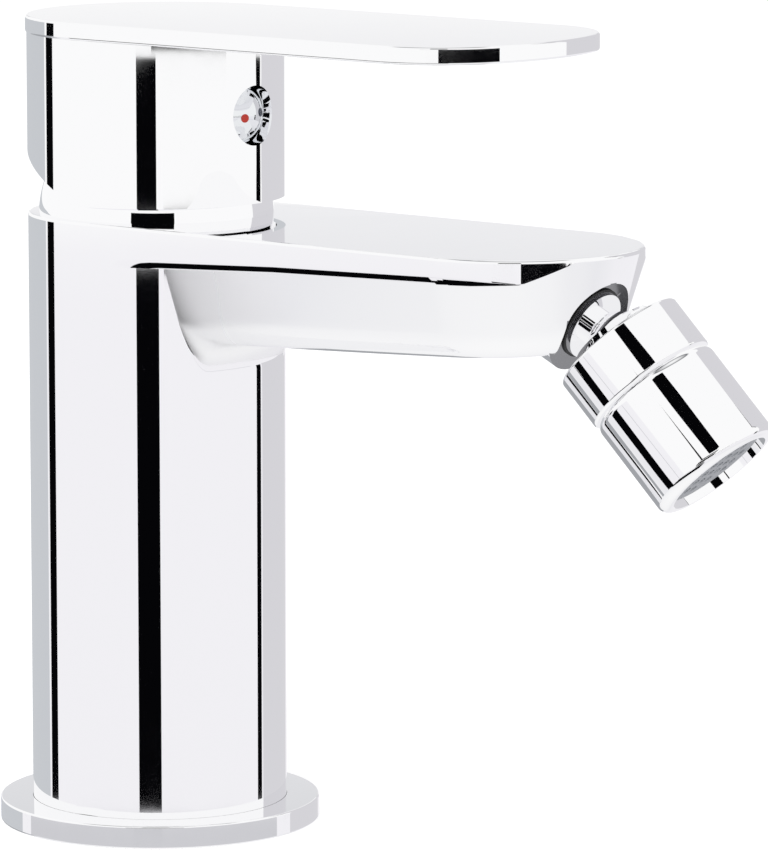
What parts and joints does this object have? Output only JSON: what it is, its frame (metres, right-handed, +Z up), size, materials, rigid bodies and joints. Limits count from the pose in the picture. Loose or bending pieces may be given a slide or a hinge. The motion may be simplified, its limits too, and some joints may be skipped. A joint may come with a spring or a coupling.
{
  "type": "bidet mixer tap",
  "caption": "Chrome single-lever bidet mixer with a round column, a flat spout, a flat lever over a round cap, and a spray head on a ball joint at the spout's tip",
  "frame": {"origin": "centre of the base ring's underside, on the deck and on the column's axis", "axes": "+Z up along the column, +X along the spout towards its tip, +Y to the left seen from behind the tap"},
  "size_m": [0.1556, 0.0564, 0.1428],
  "materials": {
    "chrome": "mirror-polished chrome plating",
    "brass": "bare machined brass",
    "steel": "plain stainless steel",
    "ceramic": "lapped white ceramic",
    "cartridge_plastic": "moulded off-white plastic",
    "aerator_plastic": "moulded grey plastic",
    "plug_plastic": "plated plastic",
    "rubber": "black rubber",
    "red": "red enamel",
    "blue": "dark blue enamel"
  },
  "bodies": {
    "column": {"body": "chrome", "base_ring": "chrome", "deck_gasket": "rubber", "cartridge_foot": "cartridge_plastic", "port_seals": "rubber", "fixed_disc": "ceramic", "cartridge_housing": "cartridge_plastic", "cartridge_nut": "brass", "dome_ring": "chrome", "seat_seal": "rubber"},
    "cartridge_rotor": {"rotor": "cartridge_plastic", "pivot_pin": "steel"},
    "handle": {"lever": "chrome", "spindle": "brass", "grub_screw": "steel", "index_plug": "plug_plastic", "hot_dot": "red", "cold_dot": "blue"},
    "slide_disc": {"moving_disc": "ceramic", "disc_carrier": "cartridge_plastic"},
    "nipple": {"ball_nipple": "chrome"},
    "spray_head": {"ball_housing": "chrome", "ball_cup": "cartridge_plastic", "pressure_ring": "rubber", "aerator_shell": "chrome", "aerator_washer": "rubber", "aerator_cage": "aerator_plastic", "flow_disc": "aerator_plastic", "aerator_screen": "steel"}
  },
  "joints": [
    {"name": "temperature_turn", "type": "hinge", "parent": "column", "child": "cartridge_rotor", "pos_m": [0, 0, 0.1072], "axis": [0, 0, 1], "range_deg": [-50, 50]},
    {"name": "flow_tilt", "type": "hinge", "parent": "cartridge_rotor", "child": "handle", "pos_m": [0, 0, 0.1072], "axis": [0, -1, 0], "range_deg": [0, 25]},
    {"name": "disc_slide", "type": "slide", "parent": "cartridge_rotor", "child": "slide_disc", "axis": [1, 0, 0], "range_m": [0, 0.0039]},
    {"name": "nipple_turn", "type": "hinge", "parent": "column", "child": "nipple", "pos_m": [0.10105, 0, 0.09336], "axis": [0.8988, 0, -0.4384], "continuous": true},
    {"name": "head_tilt", "type": "hinge", "parent": "nipple", "child": "spray_head", "pos_m": [0.10105, 0, 0.09336], "axis": [0.1204, 0.9616, 0.2468], "range_deg": [-47, 2]}
  ],
  "couplings": [
    {"joint": "disc_slide", "follows": "flow_tilt", "m_per_rad": 0.0087}
  ]
}
